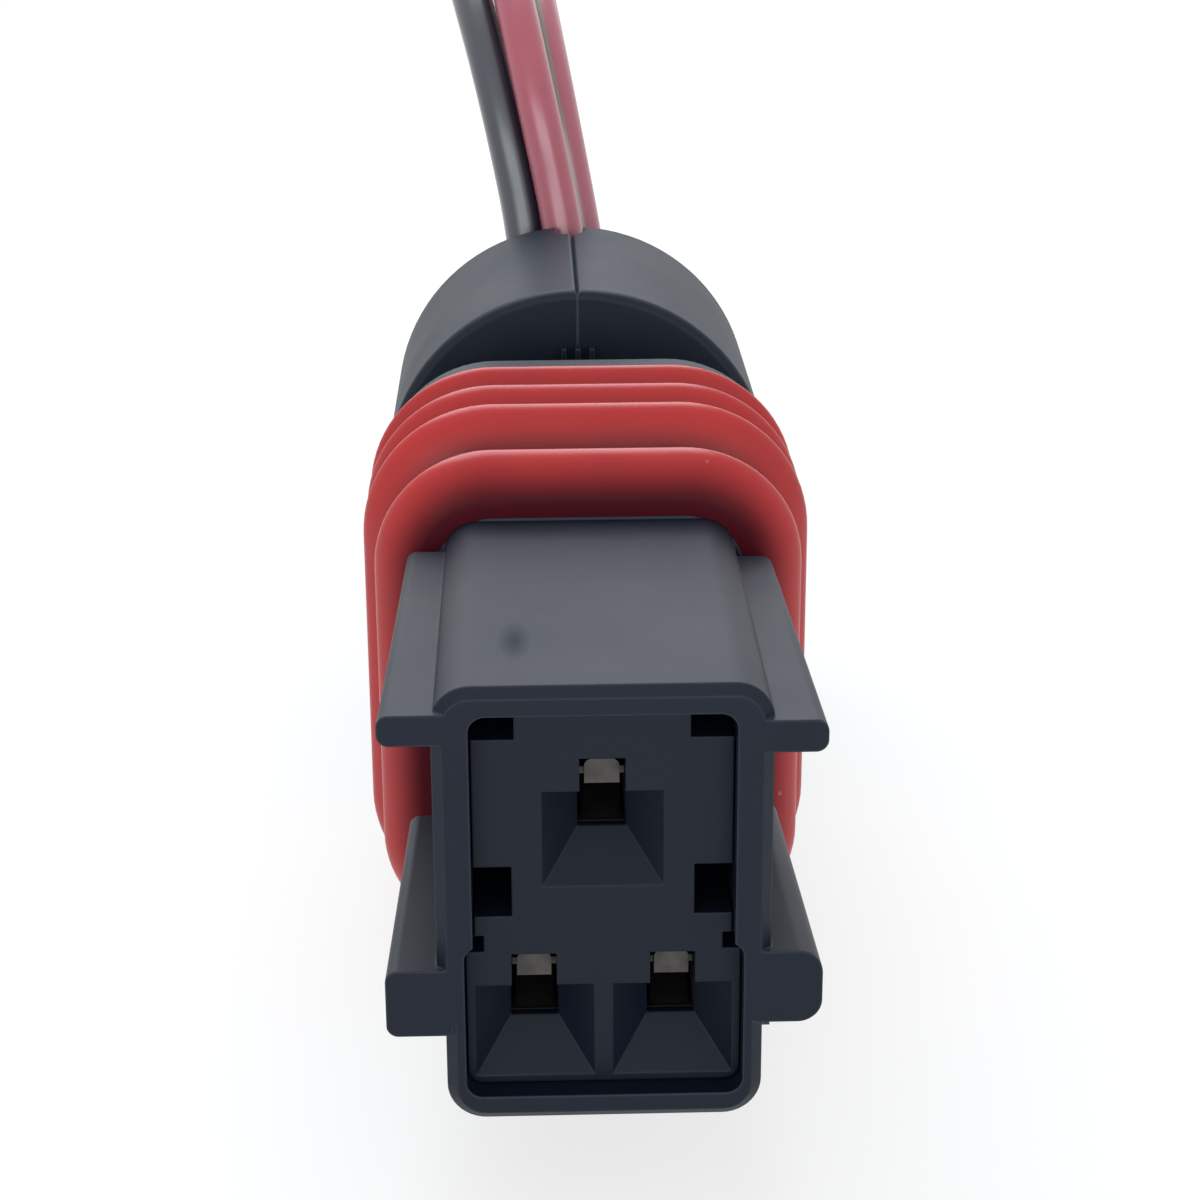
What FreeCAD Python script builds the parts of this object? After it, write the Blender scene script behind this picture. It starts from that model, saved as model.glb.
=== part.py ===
"""Sealed three-way sensor connector with a short wire tail, in millimetres.

The plug lies on its flange and its wire cover. Its nose points towards -Y, its wires leave
towards +Y, X is to the right and +Z is up. The origin is the middle of the body's footprint,
on the surface that it lies on.
"""
import FreeCAD
import Part
import math
import os

from FreeCAD import Vector

# Nose: a rounded box with a key rib at each corner, open at the front.
NOSE_WIDTH = 11.0
NOSE_HEIGHT = 15.6
NOSE_LENGTH = 17.0
NOSE_CORNER = 1.3
NOSE_WALL = 1.0
NOSE_FOOT_WIDTH = 10.5
NOSE_EDGE = 0.35

# Key ribs: how far each stands out, and its top and bottom below the top of the nose.
RIB_REACH = 1.7
RIB_LEAN_IN = 0.35
UPPER_RIB_LENGTH = 16.0
LOWER_RIB_LENGTH = 12.2
UPPER_LEFT_RIB = (0.85, 1.9)
UPPER_RIGHT_RIB = (1.2, 2.3)
LOWER_LEFT_RIB = (9.9, 12.3)
LOWER_RIGHT_RIB = (9.4, 12.0)
RIB_CORNER = 0.4
LOWER_RIGHT_CORNER = 0.8

# Lock ramp under the nose.
RAMP_WIDTH = 4.6
RAMP_HEIGHT = 1.5
RAMP_LENGTH = 4.2
RAMP_STEP = 1.2
RAMP_FROM_FRONT = 5.5

# Seal land, flange and neck behind the nose.
LAND_GROWTH_X = 0.4
LAND_GROWTH_Z = 0.1
LAND_CORNER = 2.3
SEAL_LENGTH = 12.2
FLANGE_THICKNESS = 2.0
FLANGE_GROWTH_X = 2.5
FLANGE_GROWTH_Z = 2.45
NECK_GROWTH_X = 0.3
NECK_GROWTH_Z = 0.4
NECK_CORNER = 3.4
NECK_ROUNDING = 0.3
NECK_LENGTH = 4.8
NECK_POCKET_WALL = 1.3
BEAD_GROWTH = 0.7
BEAD_LENGTH = 1.7
INDEX_RIB_WIDTH = 0.22
INDEX_RIB_HEIGHT = 1.4
INDEX_RIB_LENGTH = 0.7
INDEX_RIB_PITCH = 0.62
INDEX_RIB_ROOT = 0.2

# Perimeter seal: a sleeve, a low lip in front and three ribs.
SEAL_BASE = 0.6
SEAL_LIP_HEIGHT = 1.85
SEAL_LIP_HALF = 1.15
SEAL_LIP_SETBACK = 0.15
SEAL_RIB_HEIGHT = 2.95
SEAL_RIB_HALF = 0.95
SEAL_RIB_COUNT = 3
SEAL_RIB_PITCH = 2.85
SEAL_LAST_RIB_TO_END = 1.15

# Outline of a seal rib as shares of its half length and of its height over the sleeve.
SEAL_HUMP = ((-1.0, 0.0), (-0.75, 0.6), (-0.4, 0.93), (0.0, 1.0), (0.4, 0.93), (0.75, 0.6), (1.0, 0.0))

# Terminal cavities: one above, two below.
TOP_CAVITY_DROP = 4.9
LOW_CAVITY_OVER_BOTTOM = 3.7
LOW_CAVITY_PITCH = 4.6

# Front lock: the insert that fills the nose.
LOCK_RECESS = 0.9
LOCK_LENGTH = 8.6
LOCK_CLEARANCE = 0.05
LOCK_SHOULDER_DROP = 9.1
LOCK_SHOULDER = 0.3
LOCK_CORNER = 0.5
CORNER_NOTCH_WIDTH = 1.4
CORNER_NOTCH_HEIGHT = 1.1
SIDE_NOTCH_WIDTH = 1.25
SIDE_NOTCH_HEIGHT = 1.8
SIDE_NOTCH_DROP = 6.6
SHOULDER_NOTCH = 0.6
MOUTH_WIDTH = 4.0
MOUTH_ABOVE = 0.95
MOUTH_BELOW = 2.45
MOUTH_LIP = 0.3
SLOT_WIDTH = 1.5
SLOT_ABOVE = 2.1

# Terminal: a stamped box with a top rail, a spring tongue and two crimps.
BOX_WIDTH = 2.1
BOX_HEIGHT = 2.2
BOX_LENGTH = 6.4
BOX_SETBACK = 1.7
BOX_CORNER = 0.3
SHEET = 0.25
RAIL_WIDTH = 1.15
RAIL_HEIGHT = 0.6
RAIL_AHEAD = 0.8
RAIL_SHORTER = 1.0
RAIL_CORNER = 0.25
TONGUE_WIDTH = 1.3
TONGUE_RISE = 0.75
TONGUE_HEEL_RISE = 0.3
TONGUE_THICKNESS = 0.2
SIDE_WINDOW_FROM_FRONT = 2.4
SIDE_WINDOW_LENGTH = 2.0
SIDE_WINDOW_HEIGHT = 0.9
STRIP_THICKNESS = 0.2
STRIP_WIDE = 1.3
STRIP_NARROW = 0.7
STRANDS_PAST_CRIMP = 0.3
TERMINAL_CLEARANCE = 0.1
CONDUCTOR_CRIMP_LENGTH = 2.8
CRIMP_GAP = 1.0
WIRE_CRIMP_LENGTH = 2.4
NECKDOWN_LENGTH = 1.4

# Wires and their seals.
WIRE_DIAMETER = 2.0
CONDUCTOR_DIAMETER = 1.2
BARE_END = 6.0
WIRE_SEAL_BORE = 4.0
WIRE_SEAL_LENGTH = 6.0
WIRE_SEAL_WAIST = 0.45
RETAINER_THICKNESS = 2.0
RETAINER_CLEARANCE = 0.1
RETAINER_HOLE_CLEARANCE = 0.15

# Wire cover: two mirrored half shells round the neck.
COVER_LENGTH = 14.0
COVER_WALL = 1.2
COVER_OVER_BEAD_X = 0.55
COVER_OVER_BEAD_Z = 1.95
COVER_FOOT_CORNER = 6.0
COVER_EDGE = 0.4
SEAM_BEVEL = 0.14
SEAM_BEVEL_DEPTH = 0.2
GRIP_CLEARANCE = 0.1
PEG_DIAMETER = 1.4
PEG_LENGTH = 1.6
PEG_CLEARANCE = 0.05
BOSS_DIAMETER = 3.0
BOSS_LENGTH = 4.8
BOSS_IN_WALL = 0.3
BOSS_BEHIND_BEAD = 0.4
WINDOW_WIDTH = 7.0
WINDOW_BOTTOM = 10.4
WINDOW_TOP_MARGIN = 1.6
NOTCH_X = -0.1
NOTCH_WIDTH = 1.3
NOTCH_BITE = 2.0

# Stations along Y and levels along Z that follow from the sizes above.
BODY_LENGTH = NOSE_LENGTH + SEAL_LENGTH + FLANGE_THICKNESS + NECK_LENGTH + COVER_LENGTH
FRONT_Y = -BODY_LENGTH / 2
LAND_Y = FRONT_Y + NOSE_LENGTH
FLANGE_Y = LAND_Y + SEAL_LENGTH
NECK_Y = FLANGE_Y + FLANGE_THICKNESS
COVER_Y = NECK_Y + NECK_LENGTH
REAR_Y = COVER_Y + COVER_LENGTH
LAND_WIDTH = NOSE_WIDTH + 2 * LAND_GROWTH_X
LAND_HEIGHT = NOSE_HEIGHT + 2 * LAND_GROWTH_Z
FLANGE_WIDTH = LAND_WIDTH + 2 * FLANGE_GROWTH_X
FLANGE_HEIGHT = LAND_HEIGHT + 2 * FLANGE_GROWTH_Z
FLANGE_CORNER = LAND_CORNER + FLANGE_GROWTH_X
NECK_WIDTH = LAND_WIDTH + 2 * NECK_GROWTH_X
NECK_HEIGHT = LAND_HEIGHT + 2 * NECK_GROWTH_Z
BEAD_WIDTH = NECK_WIDTH + 2 * BEAD_GROWTH
BEAD_HEIGHT = NECK_HEIGHT + 2 * BEAD_GROWTH
MID_Z = LAND_HEIGHT / 2 + SEAL_RIB_HEIGHT
NOSE_TOP = MID_Z + NOSE_HEIGHT / 2
NOSE_BOTTOM = MID_Z - NOSE_HEIGHT / 2
LOCK_Y = FRONT_Y + LOCK_RECESS
LOCK_END_Y = LOCK_Y + LOCK_LENGTH
BOX_Y = LOCK_Y + BOX_SETBACK
BOX_END_Y = BOX_Y + BOX_LENGTH
CRIMP_Y = BOX_END_Y + NECKDOWN_LENGTH
WIRE_START_Y = CRIMP_Y + CONDUCTOR_CRIMP_LENGTH + CRIMP_GAP / 2
WIRE_CRIMP_Y = WIRE_START_Y + CRIMP_GAP / 2
STRANDS_Y = CRIMP_Y - STRANDS_PAST_CRIMP
SEAL_BORE_Y = FLANGE_Y - RETAINER_THICKNESS - WIRE_SEAL_LENGTH
RETAINER_Y = SEAL_BORE_Y + WIRE_SEAL_LENGTH
COVER_RADIUS = BEAD_WIDTH / 2 + COVER_OVER_BEAD_X + COVER_WALL
COVER_CROWN = MID_Z + BEAD_HEIGHT / 2 + COVER_OVER_BEAD_Z + COVER_WALL
COVER_AXIS_Z = COVER_CROWN - COVER_RADIUS
WIRE_CRIMP_OUTSIDE = WIRE_DIAMETER + 2 * SHEET
PASSAGE_WIDTH = max(BOX_WIDTH, WIRE_CRIMP_OUTSIDE) + 2 * TERMINAL_CLEARANCE
PASSAGE_BELOW = max(BOX_HEIGHT, WIRE_CRIMP_OUTSIDE) / 2 + TERMINAL_CLEARANCE
PASSAGE_ABOVE = BOX_HEIGHT / 2 + RAIL_HEIGHT + TERMINAL_CLEARANCE

# Cavity axes as (x, z).
CAVITY = {
    "red": (0.0, NOSE_TOP - TOP_CAVITY_DROP),
    "black": (-LOW_CAVITY_PITCH / 2, NOSE_BOTTOM + LOW_CAVITY_OVER_BOTTOM),
    "striped": (LOW_CAVITY_PITCH / 2, NOSE_BOTTOM + LOW_CAVITY_OVER_BOTTOM),
}

# Where the wires lie straight: inside their seals, and just behind the retainer.
SEALED_SHARE = 0.4
LEAVING_RUN = 4.0
LEAVING_RISE = 0.05
SEALED_Y = SEAL_BORE_Y + SEALED_SHARE * WIRE_SEAL_LENGTH
LEAVING_Y = RETAINER_Y + RETAINER_THICKNESS + LEAVING_RUN

# Routes of the wires from there on: out of the cover's window, up behind its rear wall, over in an
# arch, down to the surface behind the cover and folded back there in a bundle of three.
ROUTE = {
    "black": [
        (-2.3, 16.4, 9.2), (-2.2, 23.4, 13.4), (-1.8, 27.3, 20.2), (-3.5, 28.4, 29.0),
        (-5.3, 33.6, 34.9), (-5.9, 40.9, 36.4), (-5.4, 47.5, 33.2), (-3.7, 52.2, 25.0),
        (-1.8, 58.0, 13.7), (-1.7, 63.4, 5.2), (-3.4, 68.6, 1.05), (-7.6, 74.9, 1.05),
        (-7.7, 83.0, 1.05), (-2.3, 88.4, 1.05), (5.8, 88.4, 1.05), (11.2, 83.0, 1.05),
        (11.2, 73.0, 1.05), (10.5, 62.0, 1.05), (11.4, 52.6, 1.05), (11.2, 46.0, 1.05),
    ],
    "red": [
        (0.2, 16.8, 14.2), (0.3, 23.4, 16.3), (-0.2, 26.6, 21.8), (-1.9, 27.3, 30.1),
        (-3.3, 33.0, 36.1), (-3.8, 41.0, 37.6), (-3.2, 48.4, 34.2), (-1.6, 53.2, 25.5),
        (0.4, 59.1, 14.2), (-0.2, 64.2, 6.6), (-2.4, 69.5, 2.9), (-6.5, 75.4, 2.9),
        (-6.6, 82.4, 2.9), (-1.8, 87.3, 2.9), (5.3, 87.3, 2.9), (10.1, 82.4, 2.9),
        (10.1, 73.0, 2.9), (9.4, 62.6, 2.9), (10.3, 54.0, 2.9), (9.9, 48.0, 2.9),
    ],
    "striped": [
        (2.2, 16.8, 8.9), (1.8, 24.2, 12.6), (1.0, 28.6, 19.6), (-0.6, 29.4, 28.3),
        (-1.8, 34.1, 34.1), (-2.2, 40.8, 35.6), (-1.8, 47.0, 32.6), (-0.2, 51.5, 24.5),
        (1.8, 57.3, 13.0), (1.3, 63.0, 4.7), (-1.2, 69.2, 1.05), (-5.4, 75.6, 1.05),
        (-5.5, 82.0, 1.05), (-1.3, 86.2, 1.05), (4.8, 86.2, 1.05), (9.0, 82.0, 1.05),
        (9.0, 73.0, 1.05), (8.3, 62.4, 1.05), (9.2, 53.6, 1.05), (8.7, 47.4, 1.05),
    ],
}


def rounded_face(width, height, corner, y, z_mid, x_mid=0.0):
    """Upright rounded rectangle in the plane at y, facing along Y."""
    right, top = width / 2, height / 2
    cut = corner * (1 - math.sqrt(0.5))

    def at(x, z):
        return Vector(x_mid + x, y, z_mid + z)

    edges = []
    for sx, sz in ((1, 1), (1, -1), (-1, -1), (-1, 1)):
        along = at(sx * (right - corner), sz * top)
        down = at(sx * right, sz * (top - corner))
        bend = at(sx * (right - cut), sz * (top - cut))
        first, last = (along, down) if sx == sz else (down, along)
        edges.append(Part.Arc(first, bend, last).toShape())
    ordered = []
    for arc, following in zip(edges, edges[1:] + edges[:1]):
        ordered.append(arc)
        ordered.append(Part.LineSegment(arc.lastVertex().Point, following.firstVertex().Point).toShape())
    return Part.Face(Part.Wire(Part.__sortEdges__(ordered)))


def rounded_bar(width, height, corner, y, length, z_mid, x_mid=0.0):
    """Rounded rectangle drawn out along +Y."""
    return rounded_face(width, height, corner, y, z_mid, x_mid).extrude(Vector(0, length, 0))


def block(x0, x1, y0, y1, z0, z1):
    """Square-edged block between two corners."""
    return Part.makeBox(x1 - x0, y1 - y0, z1 - z0, Vector(x0, y0, z0))


def rod(diameter, y, length, x, z):
    """Round bar along +Y."""
    return Part.makeCylinder(diameter / 2, length, Vector(x, y, z), Vector(0, 1, 0))


def polygon_prism(points, direction):
    """Closed polygon drawn out along a direction."""
    return Part.Face(Part.makePolygon(points + points[:1])).extrude(direction)


def key_rib(side, drops, length, corner):
    """Side rib of the nose, rooted in its wall, with a rounded outer edge and a sloped rear end."""
    upper, lower = NOSE_TOP - drops[0], NOSE_TOP - drops[1]
    root = NOSE_WIDTH / 2 - NOSE_WALL / 2
    tip = NOSE_WIDTH / 2 + RIB_REACH
    outline = [
        Vector(side * root, FRONT_Y, lower),
        Vector(side * tip, FRONT_Y, lower),
        Vector(side * (tip - RIB_LEAN_IN), FRONT_Y + length, lower),
        Vector(side * root, FRONT_Y + length, lower),
    ]
    rib = polygon_prism(outline, Vector(0, 0, upper - lower))
    outer = []
    for edge in rib.Edges:
        middle = edge.CenterOfMass
        if abs(middle.x) > tip - RIB_LEAN_IN - 0.01 and edge.Length > length - 0.5:
            outer.append(edge)
    return rib.makeFillet(corner, outer)


def lock_ramp():
    """Wedge under the nose that the mating half's latch snaps behind."""
    start = FRONT_Y + RAMP_FROM_FRONT
    root = NOSE_BOTTOM + NOSE_WALL / 2
    crest = NOSE_BOTTOM - RAMP_HEIGHT
    x = -RAMP_WIDTH / 2
    side = [
        Vector(x, start, root),
        Vector(x, start, NOSE_BOTTOM),
        Vector(x, start + RAMP_LENGTH - RAMP_STEP, crest),
        Vector(x, start + RAMP_LENGTH, crest),
        Vector(x, start + RAMP_LENGTH, root),
    ]
    return polygon_prism(side, Vector(RAMP_WIDTH, 0, 0))


def nose_shell():
    """Outside of the nose with its ribs; the part below the lower ribs is a little narrower."""
    foot = rounded_bar(NOSE_FOOT_WIDTH, NOSE_HEIGHT, NOSE_CORNER, FRONT_Y, NOSE_LENGTH, MID_Z)
    shoulder_height = max(LOWER_LEFT_RIB[1], LOWER_RIGHT_RIB[1])
    shoulder_mid = NOSE_TOP - shoulder_height / 2
    body = rounded_bar(NOSE_WIDTH, shoulder_height, NOSE_CORNER, FRONT_Y, NOSE_LENGTH, shoulder_mid)
    lower_corners = block(-NOSE_WIDTH / 2, NOSE_WIDTH / 2, FRONT_Y, LAND_Y,
                          NOSE_TOP - shoulder_height, NOSE_TOP - shoulder_height + 2 * NOSE_CORNER)
    nose = foot.fuse([body, lower_corners]).removeSplitter()
    front = [e for e in nose.Edges if abs(e.BoundBox.YMax - FRONT_Y) < 1e-6]
    nose = nose.makeChamfer(NOSE_EDGE, front)
    ribs = [
        key_rib(-1, UPPER_LEFT_RIB, UPPER_RIB_LENGTH, RIB_CORNER),
        key_rib(1, UPPER_RIGHT_RIB, UPPER_RIB_LENGTH, RIB_CORNER),
        key_rib(-1, LOWER_LEFT_RIB, LOWER_RIB_LENGTH, RIB_CORNER),
        key_rib(1, LOWER_RIGHT_RIB, LOWER_RIB_LENGTH, LOWER_RIGHT_CORNER),
        lock_ramp(),
    ]
    return nose.fuse(ribs)


def lock_outline(growth, y, length):
    """Stepped outline that the front lock and its pocket share, grown all round by growth."""
    upper_width = NOSE_FOOT_WIDTH - 2 * NOSE_WALL + 2 * growth
    lower_width = upper_width + 2 * LOCK_SHOULDER
    height = NOSE_HEIGHT - 2 * NOSE_WALL + 2 * growth
    corner = LOCK_CORNER + growth
    whole = rounded_bar(upper_width, height, corner, y, length, MID_Z)
    bottom = MID_Z - height / 2
    wide_height = NOSE_TOP - LOCK_SHOULDER_DROP + growth - bottom
    wide = rounded_bar(lower_width, wide_height, corner, y, length, bottom + wide_height / 2)
    return whole.fuse(wide).removeSplitter()


def wire_seal_bores(y, length, diameter):
    """One round bar on each cavity axis."""
    return [rod(diameter, y, length, x, z) for x, z in CAVITY.values()]


def housing():
    """Nose, seal land, flange, neck and bead in one moulding, with all its cavities."""
    land = rounded_bar(LAND_WIDTH, LAND_HEIGHT, LAND_CORNER, LAND_Y, SEAL_LENGTH, MID_Z)
    flange = rounded_bar(FLANGE_WIDTH, FLANGE_HEIGHT, FLANGE_CORNER, FLANGE_Y, FLANGE_THICKNESS, MID_Z)
    flange = flange.makeFillet(NECK_ROUNDING, [e for e in flange.Edges if abs(e.BoundBox.YMin - NECK_Y) < 1e-6])
    groove_end = COVER_Y + COVER_WALL + GRIP_CLEARANCE
    neck = rounded_bar(NECK_WIDTH, NECK_HEIGHT, NECK_CORNER, NECK_Y, groove_end - NECK_Y, MID_Z)
    bead = rounded_bar(BEAD_WIDTH, BEAD_HEIGHT, NECK_CORNER + BEAD_GROWTH, groove_end, BEAD_LENGTH, MID_Z)
    neck_top = MID_Z + NECK_HEIGHT / 2
    index_ribs = []
    for step in (-1, 0, 1):
        x = step * INDEX_RIB_PITCH
        index_ribs.append(block(x - INDEX_RIB_WIDTH / 2, x + INDEX_RIB_WIDTH / 2,
                                COVER_Y - GRIP_CLEARANCE - INDEX_RIB_LENGTH, COVER_Y - GRIP_CLEARANCE,
                                neck_top - INDEX_RIB_ROOT, neck_top + INDEX_RIB_HEIGHT))
    body = nose_shell().fuse([land, flange, neck, bead] + index_ribs)

    cuts = [lock_outline(LOCK_CLEARANCE, FRONT_Y, LOCK_END_Y - FRONT_Y)]
    half = PASSAGE_WIDTH / 2
    for x, z in CAVITY.values():
        cuts.append(block(x - half, x + half, LOCK_END_Y, SEAL_BORE_Y, z - PASSAGE_BELOW, z + PASSAGE_ABOVE))
    cuts += wire_seal_bores(SEAL_BORE_Y, WIRE_SEAL_LENGTH, WIRE_SEAL_BORE)
    pocket_end = groove_end + BEAD_LENGTH
    cuts.append(rounded_bar(NECK_WIDTH - 2 * NECK_POCKET_WALL, NECK_HEIGHT - 2 * NECK_POCKET_WALL,
                            NECK_CORNER - NECK_POCKET_WALL, RETAINER_Y, pocket_end - RETAINER_Y, MID_Z))
    return body.cut(cuts).removeSplitter()


def mouth(x, z):
    """Funnel in the front lock: it narrows to the inside of the terminal's box and hides its edge."""
    def rectangle(y, half_width, above, below):
        return Part.makePolygon([
            Vector(x - half_width, y, z + above), Vector(x + half_width, y, z + above),
            Vector(x + half_width, y, z - below), Vector(x - half_width, y, z - below),
            Vector(x - half_width, y, z + above),
        ])
    half_width, half_height = BOX_WIDTH / 2 - SHEET, BOX_HEIGHT / 2 - SHEET
    narrow_y = BOX_Y - TERMINAL_CLEARANCE - MOUTH_LIP
    front = rectangle(LOCK_Y, MOUTH_WIDTH / 2, MOUTH_ABOVE, MOUTH_BELOW)
    back = rectangle(narrow_y, half_width, half_height, half_height)
    opening = block(x - half_width, x + half_width, narrow_y, BOX_Y, z - half_height, z + half_height)
    return [Part.makeLoft([front, back], True, True), opening]


def front_lock():
    """Insert in the nose: three funnels, keyed slots above them and notches at its edges."""
    body = lock_outline(0.0, LOCK_Y, LOCK_LENGTH)
    half_width = NOSE_FOOT_WIDTH / 2 - NOSE_WALL
    top = NOSE_TOP - NOSE_WALL
    cuts = []
    for side in (-1, 1):
        inner, outer = side * (half_width - CORNER_NOTCH_WIDTH), side * (half_width + 1)
        cuts.append(block(min(inner, outer), max(inner, outer), LOCK_Y, LOCK_END_Y,
                          top - CORNER_NOTCH_HEIGHT, top + 1))
        inner = side * (half_width - SIDE_NOTCH_WIDTH)
        side_top = NOSE_TOP - SIDE_NOTCH_DROP
        cuts.append(block(min(inner, outer), max(inner, outer), LOCK_Y, LOCK_END_Y,
                          side_top - SIDE_NOTCH_HEIGHT, side_top))
        inner = side * (half_width + LOCK_SHOULDER - SHOULDER_NOTCH)
        shoulder = NOSE_TOP - LOCK_SHOULDER_DROP
        cuts.append(block(min(inner, outer), max(inner, outer), LOCK_Y, LOCK_END_Y,
                          shoulder - SHOULDER_NOTCH, shoulder))
    half_box = BOX_WIDTH / 2 + TERMINAL_CLEARANCE
    for x, z in CAVITY.values():
        low = z - BOX_HEIGHT / 2 - TERMINAL_CLEARANCE
        high = z + BOX_HEIGHT / 2 + TERMINAL_CLEARANCE
        cuts += mouth(x, z)
        cuts.append(block(x - half_box, x + half_box, BOX_Y - TERMINAL_CLEARANCE, LOCK_END_Y, low, high))
        cuts.append(block(x - SLOT_WIDTH / 2, x + SLOT_WIDTH / 2, LOCK_Y, LOCK_END_Y, z, z + SLOT_ABOVE))
    return body.cut(cuts).removeSplitter()


def perimeter_seal():
    """Ribbed seal: its section swept round the seal land."""
    x0 = LAND_WIDTH / 2
    end = FLANGE_Y

    def at(y, height):
        return Vector(x0 + height, y, MID_Z)

    def hump(edges, here, crest_y, crest, half):
        """Rises from the sleeve over a bevelled crest and back; returns where it ends."""
        corners = [here]
        for share, height in SEAL_HUMP:
            corners.append(at(crest_y + share * half, SEAL_BASE + height * (crest - SEAL_BASE)))
        for first, last in zip(corners, corners[1:]):
            edges.append(Part.LineSegment(first, last).toShape())
        return corners[-1]

    lip_y = LAND_Y + SEAL_LIP_HALF + SEAL_LIP_SETBACK
    last_rib = end - SEAL_LAST_RIB_TO_END
    edges = [Part.LineSegment(at(LAND_Y, 0), at(LAND_Y, SEAL_BASE)).toShape()]
    here = hump(edges, at(LAND_Y, SEAL_BASE), lip_y, SEAL_LIP_HEIGHT, SEAL_LIP_HALF)
    for count in range(SEAL_RIB_COUNT):
        crest_y = last_rib - (SEAL_RIB_COUNT - 1 - count) * SEAL_RIB_PITCH
        here = hump(edges, here, crest_y, SEAL_RIB_HEIGHT, SEAL_RIB_HALF)
    edges.append(Part.LineSegment(here, at(end, SEAL_BASE)).toShape())
    edges.append(Part.LineSegment(at(end, SEAL_BASE), at(end, 0)).toShape())
    edges.append(Part.LineSegment(at(end, 0), at(LAND_Y, 0)).toShape())
    section = Part.Wire(edges)
    spine = rounded_face(LAND_WIDTH, LAND_HEIGHT, LAND_CORNER, LAND_Y, MID_Z).OuterWire
    return Part.Solid(spine.makePipeShell([section], True, False))


def crimp(y, length, inner):
    """Rolled barrel round a wire, with the groove where its two wings meet on top."""
    outer = rod(inner + 2 * SHEET, y, length, 0, 0)
    groove = rod(1.6 * SHEET, y, length, 0, inner / 2 + 1.3 * SHEET)
    return outer.cut([rod(inner, y, length, 0, 0), groove])


def spring_tongue():
    """Bent tongue that presses on the blade, with both feet in the floor of the box."""
    floor = SHEET - BOX_HEIGHT / 2
    foot = floor - SHEET / 2
    crest, heel = floor + TONGUE_RISE, floor + TONGUE_HEEL_RISE
    outline = []
    for share, level in (
        (0.03, foot), (0.03, floor), (0.36, crest), (0.75, heel), (0.92, floor), (0.92, foot),
        (0.83, foot), (0.75, heel - TONGUE_THICKNESS), (0.36, crest - TONGUE_THICKNESS), (0.11, foot),
    ):
        outline.append(Vector(-TONGUE_WIDTH / 2, BOX_Y + share * BOX_LENGTH, level))
    return polygon_prism(outline, Vector(TONGUE_WIDTH, 0, 0))


def strip(start, end):
    """Flat strip between two places, each given as (y, width, underside)."""
    sections = []
    for y, width, low in (start, end):
        high = low + STRIP_THICKNESS
        sections.append(Part.makePolygon([
            Vector(-width / 2, y, low), Vector(width / 2, y, low), Vector(width / 2, y, high),
            Vector(-width / 2, y, high), Vector(-width / 2, y, low),
        ]))
    return Part.makeLoft(sections, True, True)


def terminal():
    """Female terminal about its own axis: folded box, rail, tongue, neck-down and two crimps."""
    box = rounded_bar(BOX_WIDTH, BOX_HEIGHT, BOX_CORNER, BOX_Y, BOX_LENGTH, 0)
    rail_length = RAIL_AHEAD + BOX_LENGTH - RAIL_SHORTER
    rail = rounded_bar(RAIL_WIDTH, 2 * RAIL_HEIGHT, RAIL_CORNER, BOX_Y - RAIL_AHEAD, rail_length, BOX_HEIGHT / 2)
    half_width, half_height = BOX_WIDTH / 2 - SHEET, BOX_HEIGHT / 2 - SHEET
    hollow = block(-half_width, half_width, BOX_Y - BOX_WIDTH, BOX_END_Y + BOX_WIDTH, -half_height, half_height)
    window_y = BOX_Y + SIDE_WINDOW_FROM_FRONT
    window = block(-BOX_WIDTH, BOX_WIDTH, window_y, window_y + SIDE_WINDOW_LENGTH,
                   -SIDE_WINDOW_HEIGHT / 2, SIDE_WINDOW_HEIGHT / 2)
    inset = (SHEET - STRIP_THICKNESS) / 2
    box_floor = inset - BOX_HEIGHT / 2
    front_floor = inset - CONDUCTOR_DIAMETER / 2 - SHEET + SHEET / 4
    rear_floor = inset - WIRE_DIAMETER / 2 - SHEET + SHEET / 4
    crimp_end = CRIMP_Y + CONDUCTOR_CRIMP_LENGTH
    neckdown = strip((BOX_END_Y - 0.2, STRIP_WIDE, box_floor), (CRIMP_Y + 0.2, STRIP_NARROW, front_floor))
    step = strip((crimp_end - 0.2, STRIP_NARROW, front_floor), (WIRE_START_Y, STRIP_NARROW, rear_floor))
    landing = strip((WIRE_START_Y, STRIP_NARROW, rear_floor), (WIRE_CRIMP_Y + 0.4, STRIP_NARROW, rear_floor))
    folded = box.fuse(rail).cut([hollow, window]).fuse([
        spring_tongue(), neckdown, step, landing,
        crimp(CRIMP_Y, CONDUCTOR_CRIMP_LENGTH, CONDUCTOR_DIAMETER),
        crimp(WIRE_CRIMP_Y, WIRE_CRIMP_LENGTH, WIRE_DIAMETER),
    ])
    strands = rod(CONDUCTOR_DIAMETER, STRANDS_Y, WIRE_START_Y - STRANDS_Y, 0, 0)
    wire = rod(WIRE_DIAMETER, WIRE_START_Y, WIRE_CRIMP_Y + WIRE_CRIMP_LENGTH - WIRE_START_Y, 0, 0)
    return folded.cut([strands, wire]).removeSplitter()


def wire_seal(x, z):
    """Round seal on a wire: three ribs that fill the bore, turned about the wire's axis."""
    outer, waist = WIRE_SEAL_BORE / 2, WIRE_SEAL_BORE / 2 - WIRE_SEAL_WAIST
    inner = WIRE_DIAMETER / 2
    pitch = WIRE_SEAL_LENGTH / 3
    points = [Vector(x + inner, SEAL_BORE_Y, z)]
    for count in range(3):
        start = SEAL_BORE_Y + count * pitch
        points += [
            Vector(x + waist, start, z),
            Vector(x + outer, start + 0.25 * pitch, z),
            Vector(x + outer, start + 0.5 * pitch, z),
            Vector(x + waist, start + 0.75 * pitch, z),
        ]
    points += [Vector(x + waist, RETAINER_Y, z), Vector(x + inner, RETAINER_Y, z)]
    face = Part.Face(Part.makePolygon(points + points[:1]))
    return face.revolve(Vector(x, 0, z), Vector(0, 1, 0), 360)


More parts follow.
